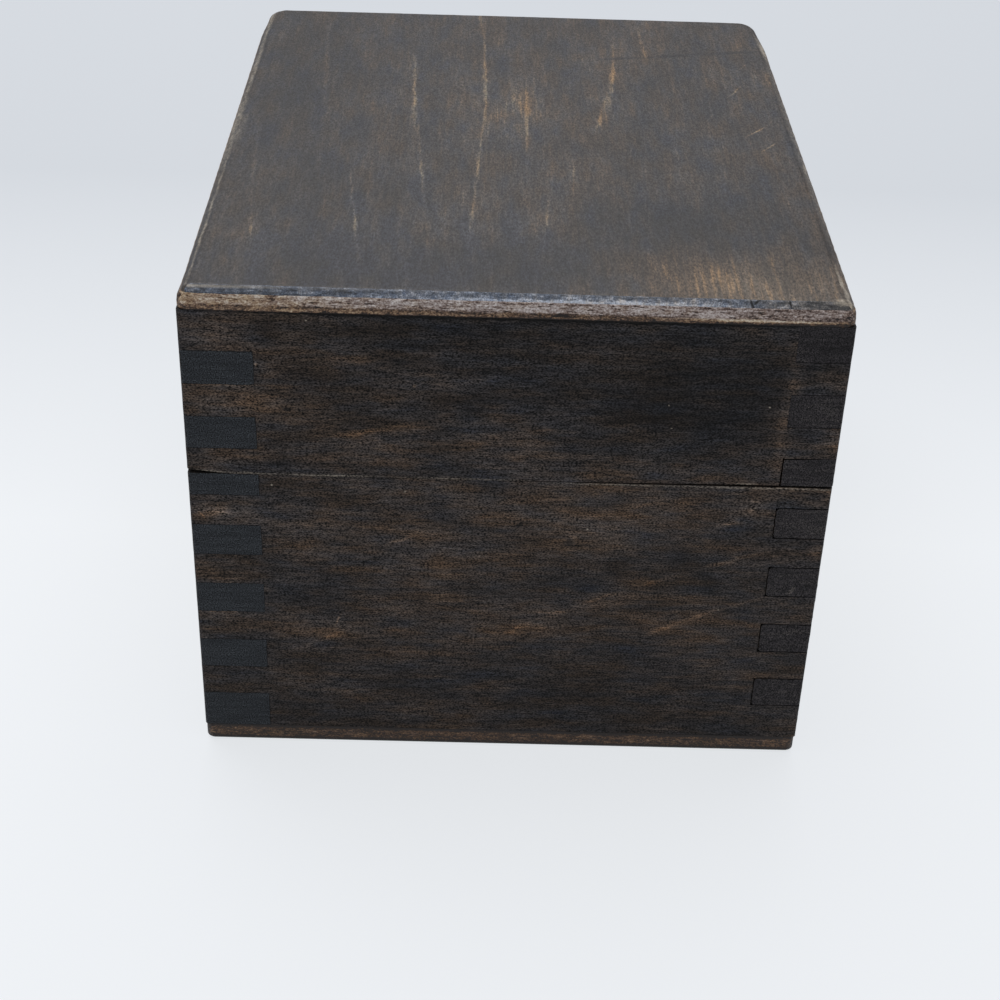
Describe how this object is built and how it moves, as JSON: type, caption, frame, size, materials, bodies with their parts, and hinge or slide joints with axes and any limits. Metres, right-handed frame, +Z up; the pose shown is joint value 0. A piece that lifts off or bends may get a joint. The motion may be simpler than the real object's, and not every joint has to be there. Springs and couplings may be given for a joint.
{
  "type": "wooden trinket box",
  "caption": "Small oblong wooden box with finger-jointed corners, plywood top and bottom, and a deep hinged lid that opens right back.",
  "frame": {"origin": "middle of the underside of the wooden body, on the surface that the box stands on", "axes": "+X to the right seen from the front, +Y towards the hinged back, +Z up"},
  "size_m": [0.073, 0.0969, 0.062],
  "materials": {
    "stained_wood": "dark stain, satin",
    "stained_plywood": "dark stain, satin, edges rubbed pale",
    "hinge_brass": "dull, lightly tarnished",
    "screw_brass": "dull, lightly tarnished"
  },
  "bodies": {
    "base": {"base_front_wall": "stained_wood", "base_right_wall": "stained_wood", "base_back_wall": "stained_wood", "base_left_wall": "stained_wood", "base_bottom_panel": "stained_plywood", "left_hinge_base_leaf": "hinge_brass", "left_hinge_pin": "hinge_brass", "left_hinge_base_screws": "screw_brass", "right_hinge_base_leaf": "hinge_brass", "right_hinge_pin": "hinge_brass", "right_hinge_base_screws": "screw_brass"},
    "lid": {"lid_front_wall": "stained_wood", "lid_right_wall": "stained_wood", "lid_back_wall": "stained_wood", "lid_left_wall": "stained_wood", "lid_top_panel": "stained_plywood", "left_hinge_lid_leaf": "hinge_brass", "left_hinge_lid_screws": "screw_brass", "right_hinge_lid_leaf": "hinge_brass", "right_hinge_lid_screws": "screw_brass"}
  },
  "joints": [
    {"name": "lid_hinge", "type": "hinge", "parent": "base", "child": "lid", "pos_m": [0, 0.0485, 0.03906], "axis": [-1, 0, 0], "range_deg": [0, 180]}
  ]
}
